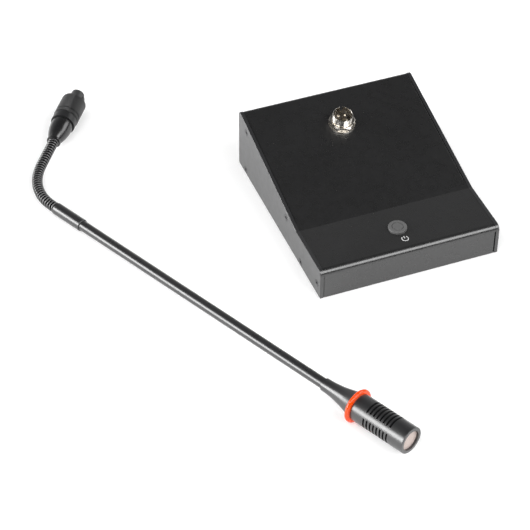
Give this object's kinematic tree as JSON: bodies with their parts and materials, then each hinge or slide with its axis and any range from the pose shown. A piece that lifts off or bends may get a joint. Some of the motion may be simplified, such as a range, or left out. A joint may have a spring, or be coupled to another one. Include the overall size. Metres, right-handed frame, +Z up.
{
  "type": "gooseneck podium microphone",
  "caption": "Desk microphone: wedge base with a talk button and stem socket, and its unplugged gooseneck stem with a light ring lying beside it.",
  "frame": {"origin": "centre of the underside of the base's bottom plate, 1 mm above the desk that the feet stand on", "axes": "+X across the base to the right seen from its front, +Y to its rear where the output connector is, +Z up"},
  "size_m": [0.3084, 0.455, 0.0574],
  "materials": {
    "case_black": "fine satin black paint",
    "cheek_black": "satin black paint",
    "plate_black": "satin black paint",
    "screw_black": "black oxide",
    "rubber_black": "moulded rubber",
    "nickel": "bright nickel plate",
    "pin_gold": "gold flash",
    "insert_black": "moulded insulator",
    "button_grey": "dull moulded cap",
    "switch_black": "moulded",
    "board_green": "solder mask",
    "steel": "zinc plated",
    "can_sleeve": "shrink sleeve",
    "chip_black": "moulded",
    "header_white": "moulded nylon",
    "lead_grey": "soft jacket",
    "neck_black": "black oxide, ribbed",
    "stem_black": "satin black paint",
    "plug_gloss": "polished",
    "plug_satin": "satin, knurled",
    "head_black": "satin black paint",
    "ring_orange": "translucent orange moulding",
    "lamp_white": "diffuse lens",
    "gauze_black": "fine mesh",
    "screen_beige": "fine metal gauze",
    "capsule_metal": "bare"
  },
  "bodies": {
    "base": {"top_shell": "case_black", "right_cheek": "cheek_black", "left_cheek": "cheek_black", "right_cheek_screws": "screw_black", "left_cheek_screws": "screw_black", "bottom_plate": "plate_black", "rubber_feet": "rubber_black", "socket_barrel": "nickel", "socket_insert": "insert_black", "socket_pins": "pin_gold", "socket_washer": "nickel", "socket_nut": "nickel", "switch_body": "switch_black", "circuit_board": "board_green", "board_standoffs": "steel", "board_screws": "steel", "board_capacitors": "can_sleeve", "board_chip": "chip_black", "board_headers": "header_white", "socket_lead": "lead_grey", "output_lead": "lead_grey", "output_shell": "plug_satin", "output_insert": "insert_black", "output_pins": "pin_gold", "output_screws": "screw_black"},
    "button": {"button_cap": "button_grey", "switch_plunger": "switch_black"},
    "stem": {"neck_span_1": "neck_black", "neck_ferrule": "stem_black", "main_tube": "stem_black", "mic_lead": "lead_grey", "head_cone": "head_black", "light_ring": "ring_orange", "led_board": "board_green", "led_lamps": "lamp_white", "head_sleeve": "head_black", "sleeve_gauze": "gauze_black", "front_cap": "head_black", "front_screen": "screen_beige", "capsule": "capsule_metal", "capsule_holder": "rubber_black"},
    "neck_2": {"neck_span_2": "neck_black"},
    "neck_3": {"neck_span_3": "neck_black"},
    "neck_4": {"neck_span_4": "neck_black"},
    "neck_5": {"neck_span_5": "neck_black"},
    "neck_6": {"neck_span_6": "neck_black"},
    "neck_7": {"neck_span_7": "neck_black"},
    "plug": {"neck_span_8": "neck_black", "neck_collar": "plug_gloss", "plug_shell": "plug_gloss", "plug_band": "plug_satin", "plug_core": "plug_satin", "plug_nose": "insert_black", "plug_contacts": "pin_gold"},
    "coupling": {"coupling_ring": "plug_satin"}
  },
  "joints": [
    {"name": "button_press", "type": "slide", "parent": "base", "child": "button", "axis": [0, 0, -1], "range_m": [0, 0.0014], "stiffness_N_per_m": 500, "springref_m": -0.0015},
    {"name": "stem_lift", "type": "slide", "parent": "base", "child": "stem", "axis": [0, 0, 1], "range_m": [0, 0.25]},
    {"name": "neck_bend_1", "type": "hinge", "parent": "stem", "child": "neck_2", "pos_m": [-0.22971, 0.08728, 0.00353], "axis": [-0.1014, -0.0184, 0.9947], "range_deg": [-4.68, 31.32], "deforming": ["mic_lead"]},
    {"name": "neck_bend_2", "type": "hinge", "parent": "neck_2", "child": "neck_3", "pos_m": [-0.23183, 0.09753, 0.0035], "axis": [-0.1014, -0.0184, 0.9947], "range_deg": [-4.68, 31.32], "deforming": ["mic_lead"]},
    {"name": "neck_bend_3", "type": "hinge", "parent": "neck_3", "child": "neck_4", "pos_m": [-0.23155, 0.10798, 0.00372], "axis": [-0.1014, -0.0184, 0.9947], "range_deg": [-4.68, 31.32], "deforming": ["mic_lead"]},
    {"name": "neck_bend_4", "type": "hinge", "parent": "neck_4", "child": "neck_5", "pos_m": [-0.22888, 0.11809, 0.00418], "axis": [-0.1014, -0.0184, 0.9947], "range_deg": [-4.68, 31.32], "deforming": ["mic_lead"]},
    {"name": "neck_bend_5", "type": "hinge", "parent": "neck_5", "child": "neck_6", "pos_m": [-0.22396, 0.1273, 0.00485], "axis": [-0.1014, -0.0184, 0.9947], "range_deg": [-8.94, 27.06], "deforming": ["mic_lead"]},
    {"name": "neck_lift_6", "type": "hinge", "parent": "neck_6", "child": "neck_7", "pos_m": [-0.21766, 0.13561, 0.00565], "axis": [-0.7918, 0.6068, -0.0694], "range_deg": [-18, 18], "deforming": ["mic_lead"]},
    {"name": "neck_lift_7", "type": "hinge", "parent": "neck_7", "child": "plug", "pos_m": [-0.21135, 0.14393, 0.00645], "axis": [-0.7918, 0.6068, -0.0694], "range_deg": [-18, 18], "deforming": ["mic_lead"]},
    {"name": "coupling_spin", "type": "hinge", "parent": "plug", "child": "coupling", "pos_m": [-0.18798, 0.17477, 0.0094], "axis": [0.6023, 0.7946, 0.0761], "continuous": true}
  ]
}
